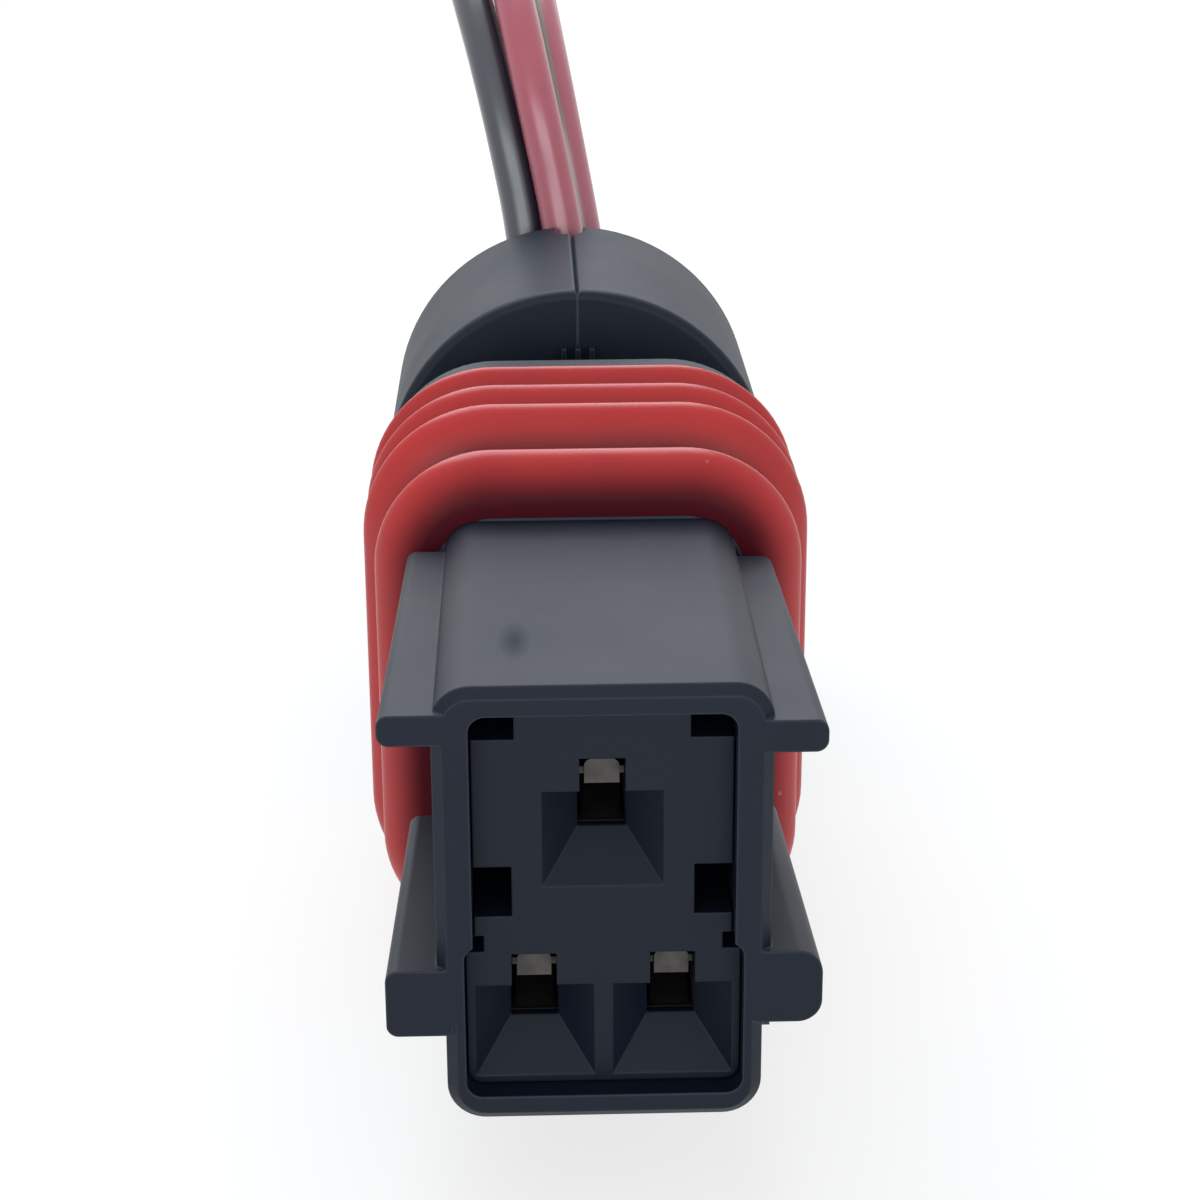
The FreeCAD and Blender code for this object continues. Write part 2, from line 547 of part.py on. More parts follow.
def seal_retainer():
    """Plate in the neck that keeps the wire seals in their bores."""
    width = NECK_WIDTH - 2 * NECK_POCKET_WALL - 2 * RETAINER_CLEARANCE
    height = NECK_HEIGHT - 2 * NECK_POCKET_WALL - 2 * RETAINER_CLEARANCE
    corner = NECK_CORNER - NECK_POCKET_WALL
    plate = rounded_bar(width, height, corner, RETAINER_Y, RETAINER_THICKNESS, MID_Z)
    hole = WIRE_DIAMETER + 2 * RETAINER_HOLE_CLEARANCE
    return plate.cut(wire_seal_bores(RETAINER_Y - 1, RETAINER_THICKNESS + 2, hole))


def cover_face(inset, y):
    """Section of the wire cover: half round on top, straight sides, rounded foot."""
    radius = COVER_RADIUS - inset
    foot = max(COVER_FOOT_CORNER - inset, 0.5)
    low = inset
    cut = foot * (1 - math.sqrt(0.5))
    left_spring, right_spring = Vector(-radius, y, COVER_AXIS_Z), Vector(radius, y, COVER_AXIS_Z)
    right_side, left_side = Vector(radius, y, low + foot), Vector(-radius, y, low + foot)
    right_floor, left_floor = Vector(radius - foot, y, low), Vector(foot - radius, y, low)
    edges = [
        Part.Arc(left_spring, Vector(0, y, COVER_AXIS_Z + radius), right_spring).toShape(),
        Part.LineSegment(right_spring, right_side).toShape(),
        Part.Arc(right_side, Vector(radius - cut, y, low + cut), right_floor).toShape(),
        Part.LineSegment(right_floor, left_floor).toShape(),
        Part.Arc(left_floor, Vector(cut - radius, y, low + cut), left_side).toShape(),
        Part.LineSegment(left_side, left_spring).toShape(),
    ]
    return Part.Face(Part.Wire(edges))


def wire_exit():
    """Round-ended window in the rear wall, and the notch over it that lets the wires in."""
    top = COVER_CROWN - WINDOW_TOP_MARGIN
    inner = REAR_Y - COVER_WALL - 1
    depth = COVER_WALL + 2
    window = rounded_bar(WINDOW_WIDTH, top - WINDOW_BOTTOM, WINDOW_WIDTH / 2 - 0.01, inner, depth,
                         (top + WINDOW_BOTTOM) / 2)
    nose_y = REAR_Y - NOTCH_BITE + NOTCH_WIDTH / 2
    low = top - WINDOW_WIDTH / 2
    nose = Part.makeCylinder(NOTCH_WIDTH / 2, COVER_CROWN + 1 - low, Vector(NOTCH_X, nose_y, low))
    way = block(NOTCH_X - NOTCH_WIDTH / 2, NOTCH_X + NOTCH_WIDTH / 2, nose_y, REAR_Y + 1, low, COVER_CROWN + 1)
    return [window, nose, way]


def peg_places():
    """Centres (y, z) of the pegs that join the two halves of the cover."""
    inner_front, inner_rear = COVER_Y + COVER_WALL, REAR_Y - COVER_WALL
    low = COVER_WALL + BOSS_DIAMETER / 2 - BOSS_IN_WALL
    high = COVER_CROWN - COVER_WALL - BOSS_DIAMETER / 2 + BOSS_IN_WALL
    front = inner_front + BEAD_LENGTH + GRIP_CLEARANCE + BOSS_DIAMETER / 2 + BOSS_BEHIND_BEAD
    return [(front, low), (inner_rear - BOSS_DIAMETER / 2 + BOSS_IN_WALL, low), (front, high)]


def cover_half(side):
    """One half of the wire cover: shell, neck grip, wire exit, and pegs or their sockets."""
    outside = cover_face(0.0, COVER_Y).extrude(Vector(0, COVER_LENGTH, 0))
    rims = [e for e in outside.Edges if abs(e.BoundBox.YMin - e.BoundBox.YMax) < 1e-6]
    outside = outside.makeFillet(COVER_EDGE, rims)
    inside = cover_face(COVER_WALL, COVER_Y + COVER_WALL)
    inside = inside.extrude(Vector(0, COVER_LENGTH - 2 * COVER_WALL, 0))
    grip = rounded_bar(NECK_WIDTH, NECK_HEIGHT, NECK_CORNER, COVER_Y - 1, COVER_WALL + 2, MID_Z)
    shell = outside.cut([inside, grip] + wire_exit())
    bosses = []
    for y, z in peg_places():
        boss = Part.makeCylinder(BOSS_DIAMETER / 2, BOSS_LENGTH, Vector(-BOSS_LENGTH / 2, y, z), Vector(1, 0, 0))
        bosses.append(boss.common(outside))
    shell = shell.fuse(bosses)
    reach = 2 * COVER_RADIUS
    keep = block(min(0, side * reach), max(0, side * reach), COVER_Y - 1, REAR_Y + 1, -1, 3 * COVER_RADIUS)
    half = shell.common(keep)
    above = COVER_CROWN + SEAM_BEVEL_DEPTH
    bevel = polygon_prism([
        Vector(0, COVER_Y - 1, COVER_CROWN - SEAM_BEVEL_DEPTH), Vector(0, COVER_Y - 1, above),
        Vector(side * 2 * SEAM_BEVEL, COVER_Y - 1, above),
    ], Vector(0, COVER_LENGTH + 2, 0))
    half = half.cut(bevel)
    for y, z in peg_places():
        if side < 0:
            peg = Part.makeCylinder(PEG_DIAMETER / 2, 2 * PEG_LENGTH, Vector(-PEG_LENGTH, y, z), Vector(1, 0, 0))
            half = half.fuse(peg)
        else:
            hole = PEG_DIAMETER / 2 + PEG_CLEARANCE
            half = half.cut(Part.makeCylinder(hole, PEG_LENGTH + PEG_CLEARANCE, Vector(0, y, z), Vector(1, 0, 0)))
    return half.removeSplitter()


def wire_points(name):
    """Corners of a wire's route, from inside its terminal's rear crimp to its far end."""
    x, z = CAVITY[name]
    straight = [Vector(x, WIRE_START_Y, z), Vector(x, SEALED_Y, z), Vector(x, LEAVING_Y, z + LEAVING_RISE)]
    return straight + [Vector(*point) for point in ROUTE[name]]


def tube(points, diameter, name):
    """Round bar along straight runs joined by tangent arcs; returns it with its length."""
    edges = []
    here = points[0]
    radii = []
    length = 0.0
    for before, corner, after in zip(points, points[1:], points[2:]):
        into, out = (corner - before), (after - corner)
        turn = into.getAngle(out)
        if turn < 1e-3:
            continue
        reach = 0.45 * min(into.Length, out.Length)
        radii.append(reach / math.tan(turn / 2))
        into.normalize()
        out.normalize()
        first, last = corner - into * reach, corner + out * reach
        towards = out - into
        towards.normalize()
        inside = radii[-1] / math.cos(turn / 2) - radii[-1]
        bend = corner + towards * inside
        edges.append(Part.LineSegment(here, first).toShape())
        edges.append(Part.Arc(first, bend, last).toShape())
        length += (first - here).Length + radii[-1] * turn
        here = last
    edges.append(Part.LineSegment(here, points[-1]).toShape())
    length += (points[-1] - here).Length
    path = Part.Wire(edges)
    along = points[1] - points[0]
    ring = Part.Wire(Part.makeCircle(diameter / 2, points[0], along))
    solid = Part.Solid(path.makePipeShell([ring], True, False))
    expected = math.pi * diameter ** 2 / 4 * length
    print(name, "length %.1f" % length, "least radius %.1f" % min(radii),
          "volume ratio %.4f" % (solid.Volume / expected))
    print("   radii", ["%.0f" % r for r in radii])
    return solid


def bare_tip(points):
    """Strands that stand out of a wire's far end, in line with its last run."""
    end, before = points[-1], points[-2]
    return Part.makeCylinder(CONDUCTOR_DIAMETER / 2, BARE_END, end, end - before)


def main():
    os.makedirs("parts", exist_ok=True)
    nodes = {
        "connector_housing": housing(),
        "front_lock": front_lock(),
        "perimeter_seal": perimeter_seal(),
        "seal_retainer": seal_retainer(),
        "cover_half_left": cover_half(-1),
        "cover_half_right": cover_half(1),
    }
    stamped = terminal()
    for name, (x, z) in CAVITY.items():
        nodes["terminal_" + name] = stamped.translated(Vector(x, 0, z))
        nodes["wire_seal_" + name] = wire_seal(x, z)
        nodes["conductor_" + name] = rod(CONDUCTOR_DIAMETER, STRANDS_Y, WIRE_START_Y - STRANDS_Y, x, z)
        points = wire_points(name)
        nodes["wire_" + name] = tube(points, WIRE_DIAMETER, "wire_" + name)
        nodes["bare_tip_" + name] = bare_tip(points)
    for name, shape in nodes.items():
        shape.exportStep("parts/%s.step" % name)
        box = shape.BoundBox
        print("%-20s %2d solid %s %8.2f mm3  x %.2f..%.2f y %.2f..%.2f z %.2f..%.2f" % (
            name, len(shape.Solids), shape.isValid(), shape.Volume,
            box.XMin, box.XMax, box.YMin, box.YMax, box.ZMin, box.ZMax))


main()
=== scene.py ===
# %% [markdown]
# # A sealed three-way sensor connector
# The plug is a small moulded thing, about as long as a finger joint: a rectangular nose with key
# ribs, a ribbed silicone seal, a round-topped cover in two halves, and three wires. The solid model
# arrives as a fixed frame, already at its real size and place. This notebook gives it its looks:
# the finishes, the seal's soft ribs, the wires on one smooth curve each, and the light.

# %% Load the frame
import math

import bpy
import numpy as np
from mathutils import Matrix, Vector


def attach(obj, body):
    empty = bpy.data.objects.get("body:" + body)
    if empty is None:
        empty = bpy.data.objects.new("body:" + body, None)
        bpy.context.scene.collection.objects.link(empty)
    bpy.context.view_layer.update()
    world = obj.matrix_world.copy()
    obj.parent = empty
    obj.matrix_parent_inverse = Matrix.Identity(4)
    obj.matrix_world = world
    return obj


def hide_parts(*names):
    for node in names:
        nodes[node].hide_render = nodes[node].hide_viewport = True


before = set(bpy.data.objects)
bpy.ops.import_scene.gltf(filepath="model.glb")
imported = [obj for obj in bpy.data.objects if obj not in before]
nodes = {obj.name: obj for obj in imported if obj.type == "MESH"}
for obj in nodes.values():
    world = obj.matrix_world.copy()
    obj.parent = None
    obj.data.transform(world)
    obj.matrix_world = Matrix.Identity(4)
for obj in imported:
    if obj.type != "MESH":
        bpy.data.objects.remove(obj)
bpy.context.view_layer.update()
MM = 0.001

# %% [markdown]
# ## The camera
# A photograph fixes four things: where the camera stands, where it looks, how it is rolled and how
# long its lens is. The picture was taken from close by, so the nose looks much larger than the
# cover behind it. Only a camera that stands as close gives the same ratio of sizes. Its place is
# measured from the middle of the plug's footprint.

# %% Camera
CAMERA_PLACE = Vector((-2.2, -101.0, 49.2)) * MM
CAMERA_PITCH_DOWN = math.radians(19.95)
CAMERA_YAW = math.radians(-1.6)
CAMERA_ROLL = math.radians(-0.3)
SENSOR = 36.0
FOCAL_LENGTH_PIXELS = 2600
PICTURE_PIXELS = 1200
NEAREST_SEEN = 5 * MM
FARTHEST_SEEN = 20.0

lens = bpy.data.cameras.new("camera")
lens.sensor_width = SENSOR
lens.lens = SENSOR * FOCAL_LENGTH_PIXELS / PICTURE_PIXELS
lens.clip_start = NEAREST_SEEN
lens.clip_end = FARTHEST_SEEN
camera = bpy.data.objects.new("camera", lens)
camera.matrix_world = (
    Matrix.Translation(CAMERA_PLACE)
    @ Matrix.Rotation(CAMERA_YAW, 4, "Z")
    @ Matrix.Rotation(math.radians(90) - CAMERA_PITCH_DOWN, 4, "X")
    @ Matrix.Rotation(CAMERA_ROLL, 4, "Z")
)
bpy.context.scene.collection.objects.link(camera)
bpy.context.scene.camera = camera
NOSE_FRONT = Vector((0, -25, 18)) * MM
print("camera: lens %.0f mm, %.0f mm from the nose" % (lens.lens, (CAMERA_PLACE - NOSE_FRONT).length / MM))

# %% [markdown]
# ## Helpers for materials
# Colours are written as sRGB hex values, as a paint program shows them, and the renderer works in
# linear light, so one function converts them. Another small function adds a node to a material:
# it sets the node's own settings, then fills its inputs with plain values or with the outputs of
# other nodes. Every material below is built with it.

# %% Colour and node helpers
def linear(hex_colour):
    """sRGB hex to linear: divide by 12.92 below 0.04045, else ((c + 0.055) / 1.055) to the 2.4."""
    srgb = np.array([int(hex_colour[i:i + 2], 16) for i in (1, 3, 5)]) / 255
    low, high = srgb / 12.92, ((srgb + 0.055) / 1.055) ** 2.4
    return tuple(np.where(srgb <= 0.04045, low, high)) + (1.0,)


def add(tree, kind, inputs=None, **settings):
    """Add a node, set its settings, and give its inputs values or other nodes' outputs."""
    made = tree.nodes.new(kind)
    for name, value in settings.items():
        setattr(made, name, value)
    for name, value in (inputs or {}).items():
        if isinstance(value, bpy.types.NodeSocket):
            tree.links.new(value, made.inputs[name])
        else:
            made.inputs[name].default_value = value
    return made


def new_material(name):
    """A material with nothing in it but its output node. Gives the material, its tree and that node."""
    material = bpy.data.materials.new(name)
    material.use_nodes = True
    material.node_tree.nodes.clear()
    output = add(material.node_tree, "ShaderNodeOutputMaterial")
    return material, material.node_tree, output


# %% [markdown]
# ## Wires: one smooth line each
# A wire is a fixed length of something springy, so its line has no corners. A NURBS curve of order
# three passes smoothly between a few control points, and stays flat where they are flat. The route
# starts in the terminal's rear crimp, runs straight through the wire seal, leaves by the cover's
# window, rises out of the picture and comes down behind the plug, where the rest of the wire is
# folded back.

# %% Routes of the wires, in millimetres
WIRE_DIAMETER = 2.0
BARE_END = 6.0
WIRE_START_Y = -11.3
SEALED_Y = -1.4
LEAVING_Y = 8.2
CAVITY = {"red": (0.0, 13.75), "black": (-2.3, 6.75), "striped": (2.3, 6.75)}
ROUTE = {
    "black": [
        (-2.3, 16.4, 9.2), (-2.2, 23.4, 13.4), (-1.8, 27.3, 20.2), (-3.5, 28.4, 29.0),
        (-5.3, 33.6, 34.9), (-5.9, 40.9, 36.4), (-5.4, 47.5, 33.2), (-3.7, 52.2, 25.0),
        (-1.8, 58.0, 13.7), (-1.7, 63.4, 5.2), (-3.4, 68.6, 1.05), (-7.6, 74.9, 1.05),
        (-7.7, 83.0, 1.05), (-2.3, 88.4, 1.05), (5.8, 88.4, 1.05), (11.2, 83.0, 1.05),
        (11.2, 73.0, 1.05), (10.5, 62.0, 1.05), (11.4, 52.6, 1.05), (11.2, 46.0, 1.05),
    ],
    "red": [
        (0.2, 16.8, 14.2), (0.3, 23.4, 16.3), (-0.2, 26.6, 21.8), (-1.9, 27.3, 30.1),
        (-3.3, 33.0, 36.1), (-3.8, 41.0, 37.6), (-3.2, 48.4, 34.2), (-1.6, 53.2, 25.5),
        (0.4, 59.1, 14.2), (-0.2, 64.2, 6.6), (-2.4, 69.5, 2.9), (-6.5, 75.4, 2.9),
        (-6.6, 82.4, 2.9), (-1.8, 87.3, 2.9), (5.3, 87.3, 2.9), (10.1, 82.4, 2.9),
        (10.1, 73.0, 2.9), (9.4, 62.6, 2.9), (10.3, 54.0, 2.9), (9.9, 48.0, 2.9),
    ],
    "striped": [
        (2.2, 16.8, 8.9), (1.8, 24.2, 12.6), (1.0, 28.6, 19.6), (-0.6, 29.4, 28.3),
        (-1.8, 34.1, 34.1), (-2.2, 40.8, 35.6), (-1.8, 47.0, 32.6), (-0.2, 51.5, 24.5),
        (1.8, 57.3, 13.0), (1.3, 63.0, 4.7), (-1.2, 69.2, 1.05), (-5.4, 75.6, 1.05),
        (-5.5, 82.0, 1.05), (-1.3, 86.2, 1.05), (4.8, 86.2, 1.05), (9.0, 82.0, 1.05),
        (9.0, 73.0, 1.05), (8.3, 62.4, 1.05), (9.2, 53.6, 1.05), (8.7, 47.4, 1.05),
    ],
}


def route_points(name):
    """The route's control points in metres, from inside the rear crimp to the far end."""
    x, z = CAVITY[name]
    straight = [(x, WIRE_START_Y, z), (x, SEALED_Y, z), (x, LEAVING_Y, z + 0.05)]
    return np.array(straight + ROUTE[name]) * MM


def smooth_line(points, resolution=12):
    """Points along the quadratic NURBS curve that has the route's points as its control points."""
    curve = bpy.data.curves.new("line", "CURVE")
    curve.dimensions = "3D"
    spline = curve.splines.new("NURBS")
    spline.points.add(len(points) - 1)
    spline.points.foreach_set("co", np.c_[points, np.ones(len(points))].ravel())
    spline.order_u = 3
    spline.use_endpoint_u = True
    spline.resolution_u = resolution
    carrier = bpy.data.objects.new("line", curve)
    mesh = bpy.data.meshes.new_from_object(carrier)
    line = np.zeros(3 * len(mesh.vertices))
    mesh.vertices.foreach_get("co", line)
    bpy.data.meshes.remove(mesh)
    bpy.data.objects.remove(carrier)
    bpy.data.curves.remove(curve)
    return line.reshape(-1, 3)


def length_of(line):
    """Length of a line of points: the sum of the distances between neighbours."""
    return float(np.linalg.norm(np.diff(line, axis=0), axis=1).sum())


lines = {name: smooth_line(route_points(name)) for name in ROUTE}
for name, line in lines.items():
    print("line of the", name, "wire: %.1f mm in %d points" % (length_of(line) / MM, len(line)))

# %% [markdown]
# ## Surfaces on a grid
# A tube is a circle carried along a line. At each point of the line stand two directions square to
# it, and the surface is the point plus a cosine of one and a sine of the other. The two directions
# must not spin from one point to the next, so each pair is the last pair with only the turn of the
# line taken out. One helper lays any grid of points into a mesh, with a UV map that stores how far
# round and how far along each corner is, because stripes and strands follow the wire and not the
# room.

# %% Grid and tube helpers
SHARP_ANGLE = math.radians(50)


def grid_quads(along, around, closed_along=False):
    """Corner numbers of the quads between neighbours of a grid that is closed around: point (i, j)
    has the number i times around plus j, and each quad goes (i, j), (i, j+1), (i+1, j+1), (i+1, j)."""
    rows = along if closed_along else along - 1
    i, j = np.meshgrid(np.arange(rows), np.arange(around), indexing="ij")
    i_next, j_next = (i + 1) % along, (j + 1) % around
    quads = np.stack([i * around + j, i * around + j_next, i_next * around + j_next, i_next * around + j], -1)
    return quads.reshape(-1, 4)


def end_caps(along, around):
    """Corner numbers of the two flat faces that close a tube: the first ring backwards, and the last."""
    return np.stack([np.arange(around)[::-1], np.arange((along - 1) * around, along * around)])


def mesh_of(name, points, faces):
    """Smooth mesh of points and faces, with a sharp edge wherever two faces meet at a steep angle."""
    mesh = bpy.data.meshes.new(name)
    mesh.from_pydata(points.reshape(-1, 3), [], faces)
    mesh.shade_smooth()
    mesh.set_sharp_from_angle(angle=SHARP_ANGLE)
    return mesh


def lay_uv(mesh, uv):
    """UV map of a grid's quads. uv holds one more value than there are points where the grid closes,
    so the seam has both its ends. Caps that follow the quads stay at zero."""
    corners = np.stack([uv[:-1, :-1], uv[:-1, 1:], uv[1:, 1:], uv[1:, :-1]], 2).reshape(-1, 2)
    flat = np.zeros((len(mesh.loops), 2), np.float32)
    flat[:len(corners)] = corners
    mesh.uv_layers.new(name="UVMap").uv.foreach_set("vector", flat.ravel())


def new_piece(name, mesh, material):
    """Object for a finished mesh, at the origin, riding on the body."""
    mesh.materials.append(material)
    piece = bpy.data.objects.new(name, mesh)
    bpy.context.scene.collection.objects.link(piece)
    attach(piece, "root")
    return piece


def carried_frames(line, first_side):
    """Unit tangents of a line, and two directions square to them that don't spin along it."""
    tangent = np.gradient(line, axis=0)
    tangent /= np.linalg.norm(tangent, axis=1, keepdims=True)
    side = np.zeros_like(line)
    before = np.array(first_side, float)
    for step, forward in enumerate(tangent):
        before = before - forward * (before @ forward)
        before /= np.linalg.norm(before)
        side[step] = before
    return tangent, side, np.cross(tangent, side)


def tube_points(line, radius, around, first_side):
    """Circle carried along a line: point + radius * (cos a * side + sin a * other side). The angle
    a runs clockwise seen along the line, so the faces look outwards."""
    _, side, other = carried_frames(line, first_side)
    angle = -2 * np.pi * np.arange(around) / around
    ring = np.cos(angle)[None, :, None] * side[:, None] + np.sin(angle)[None, :, None] * other[:, None]
    return line[:, None] + radius * ring


def distance_along(line):
    """Distance from the line's start to each of its points."""
    return np.r_[0, np.cumsum(np.linalg.norm(np.diff(line, axis=0), axis=1))]


# %% [markdown]
# ## Insulation: extruded PVC
# The wire's skin is PVC that came hot through a round die. It is smooth along its length, with a
# faint satin gloss, and a long window behind the camera draws one bright line on it. The third wire
# has a tracer: a thin stripe of grey-green squeezed into the skin as it is made, so it follows the
# wire. The stripe reads the UV map, where U is the turn round the wire and V the distance along it
# in millimetres. Fine drag marks from the die run along the wire.

# %% Insulation material
TRACER_HALF_TURN = 0.057
TRACER_BLUR = 0.005


def insulation(name, colour, dark, roughness, tracer=None):
    """PVC skin: two tones in long soft streaks, die lines as bump, and a tracer where asked."""
    material, tree, output = new_material(name)
    place = add(tree, "ShaderNodeTexCoord")
    streaks = add(tree, "ShaderNodeTexNoise", {"Vector": place.outputs["Object"], "Scale": 1 / (4 * MM),
                                               "Detail": 3.0})
    base = add(tree, "ShaderNodeMix", {"Factor": streaks.outputs["Fac"], "A": linear(dark),
                                       "B": linear(colour)}, data_type="RGBA")
    skin = base.outputs["Result"]
    if tracer:
        split = add(tree, "ShaderNodeSeparateXYZ", {"Vector": place.outputs["UV"]})
        wander = add(tree, "ShaderNodeMath", {0: streaks.outputs["Fac"], 1: 0.012, 2: split.outputs["X"]},
                     operation="MULTIPLY_ADD")
        turn = add(tree, "ShaderNodeMath", {0: wander.outputs["Value"]}, operation="FRACT")
        off = add(tree, "ShaderNodeMath", {0: turn.outputs["Value"], 1: 0.5}, operation="SUBTRACT")
        away = add(tree, "ShaderNodeMath", {0: off.outputs["Value"]}, operation="ABSOLUTE")
        inside = add(tree, "ShaderNodeMapRange", {
            "Value": away.outputs["Value"], "From Min": TRACER_HALF_TURN + TRACER_BLUR,
            "From Max": TRACER_HALF_TURN - TRACER_BLUR, "To Min": 0.0, "To Max": 1.0})
        striped = add(tree, "ShaderNodeMix", {"Factor": inside.outputs["Result"], "A": skin,
                                              "B": linear(tracer)}, data_type="RGBA")
        skin = striped.outputs["Result"]
    lines_map = add(tree, "ShaderNodeMapping", {"Vector": place.outputs["UV"], "Scale": (40.0, 0.08, 1.0)})
    die_lines = add(tree, "ShaderNodeTexNoise", {"Vector": lines_map.outputs["Vector"], "Scale": 1.0})
    bump = add(tree, "ShaderNodeBump", {"Height": die_lines.outputs["Fac"], "Strength": 0.25,
                                        "Distance": 0.02 * MM})
    gloss = add(tree, "ShaderNodeMapRange", {"Value": streaks.outputs["Fac"], "To Min": roughness - 0.05,
                                             "To Max": roughness + 0.06})
    surface = add(tree, "ShaderNodeBsdfPrincipled", {
        "Base Color": skin, "Roughness": gloss.outputs["Result"], "IOR": 1.54, "Coat Weight": 1.0,
        "Coat Roughness": 0.27, "Normal": bump.outputs["Normal"], "Coat Normal": bump.outputs["Normal"]})
    tree.links.new(surface.outputs["BSDF"], output.inputs["Surface"])
    return material


# PVC has an index near 1.54, and the die leaves an even, drawn surface: the eye gets one long soft
# line of light along each wire, and the deep colour on both sides of it.
INSULATION = {
    "black": insulation("pvc_insulation_black", "#262c3a", "#1c212c", 0.36),
    "red": insulation("pvc_insulation_red", "#ac4659", "#98394c", 0.36),
    "striped": insulation("pvc_insulation_striped", "#ac5064", "#9a4054", 0.36, tracer="#7b7c6d"),
}
print("insulation:", [material.name for material in INSULATION.values()])

# %% [markdown]
# ## Tinned strands
# Under the skin is a bundle of thin copper strands, each tinned, that lie in a long helix: one in
# the middle, six round it, twelve round those. They show where the skin is stripped, at the far
# end, and inside the terminal's front crimp.

# %% Tin and strands
def tin(name, colour, dull, roughness, scale_mm):
    """Tinned copper alloy: metal with a cloudy tone and gloss, at a grain of scale_mm."""
    material, tree, output = new_material(name)
    place = add(tree, "ShaderNodeTexCoord")
    cloud = add(tree, "ShaderNodeTexNoise", {"Vector": place.outputs["Object"], "Scale": 1 / (scale_mm * MM),
                                             "Detail": 4.0})
    tone = add(tree, "ShaderNodeMix", {"Factor": cloud.outputs["Fac"], "A": linear(colour),
                                       "B": linear(dull)}, data_type="RGBA")
    gloss = add(tree, "ShaderNodeMapRange", {"Value": cloud.outputs["Fac"], "To Min": roughness - 0.08,
                                             "To Max": roughness + 0.12})
    bump = add(tree, "ShaderNodeBump", {"Height": cloud.outputs["Fac"], "Strength": 0.3,
                                        "Distance": 0.01 * MM})
    surface = add(tree, "ShaderNodeBsdfPrincipled", {
        "Base Color": tone.outputs["Result"], "Metallic": 1.0, "Roughness": gloss.outputs["Result"],
        "Normal": bump.outputs["Normal"]})
    tree.links.new(surface.outputs["BSDF"], output.inputs["Surface"])
    return material


# Tin on rolled alloy is a metal with a cloudy, half-matt face. Its colour here is much darker than
# bright tin, painted shade for terminals that sit deep in their dark mouths: the eye gets a dim glint
# and no mirror image.
TINNED_ALLOY = tin("tinned_copper_alloy", "#5e5b59", "#3b3938", 0.45, 0.6)
# The strands keep the bright colour of tin without painted shade, and where the tin is thin a little
# of the copper's warmth comes through.
TINNED_STRANDS = tin("tinned_copper_strands", "#cdb9a4", "#8f8a82", 0.32, 0.4)
STRAND_LAY = 14.0 * MM
STRANDS_IN_RING = np.array([1, 6, 12])
RING_RADIUS = np.array([0.0, 0.24, 0.475]) * MM
STRAND_RADIUS = 0.122 * MM
STRAND_STEPS, STRAND_SIDES = 16, 10


def strands(name, start, end):
    """Bundle between two points. The middle of each strand is a helix: start plus the distance along
    the axis plus the ring's radius times (cos turn * side + sin turn * other), where the turn is one
    full circle for each lay length. A circle square to the helix is carried along it."""
    length = np.linalg.norm(end - start)
    axis = (end - start) / length
    side = np.cross(axis, (0.0, 0.0, 1.0))
    side /= np.linalg.norm(side)
    other = np.cross(axis, side)
    along = np.linspace(0, length, STRAND_STEPS)
    phase = np.concatenate([np.arange(count) / count for count in STRANDS_IN_RING])
    reach = np.repeat(RING_RADIUS, STRANDS_IN_RING)[:, None, None]
    turn = 2 * np.pi * (along[None] / STRAND_LAY + phase[:, None])[..., None]
    outwards = np.cos(turn) * side + np.sin(turn) * other
    onwards = axis + reach * 2 * np.pi / STRAND_LAY * (np.cos(turn) * other - np.sin(turn) * side)
    onwards /= np.linalg.norm(onwards, axis=-1, keepdims=True)
    middle = start + along[None, :, None] * axis + reach * outwards
    angle = -2 * np.pi * np.arange(STRAND_SIDES)[:, None] / STRAND_SIDES
    ring = np.cos(angle) * outwards[:, :, None] + np.sin(angle) * np.cross(onwards, outwards)[:, :, None]
    points = middle[:, :, None] + STRAND_RADIUS * ring
    shift = (np.arange(len(phase)) * STRAND_STEPS * STRAND_SIDES)[:, None, None]
    quads = (grid_quads(STRAND_STEPS, STRAND_SIDES) + shift).reshape(-1, 4)
    caps = (end_caps(STRAND_STEPS, STRAND_SIDES) + shift).reshape(-1, STRAND_SIDES)
    return new_piece(name, mesh_of(name, points, quads.tolist() + caps.tolist()), TINNED_STRANDS)


print("strands in a bundle:", STRANDS_IN_RING.sum())
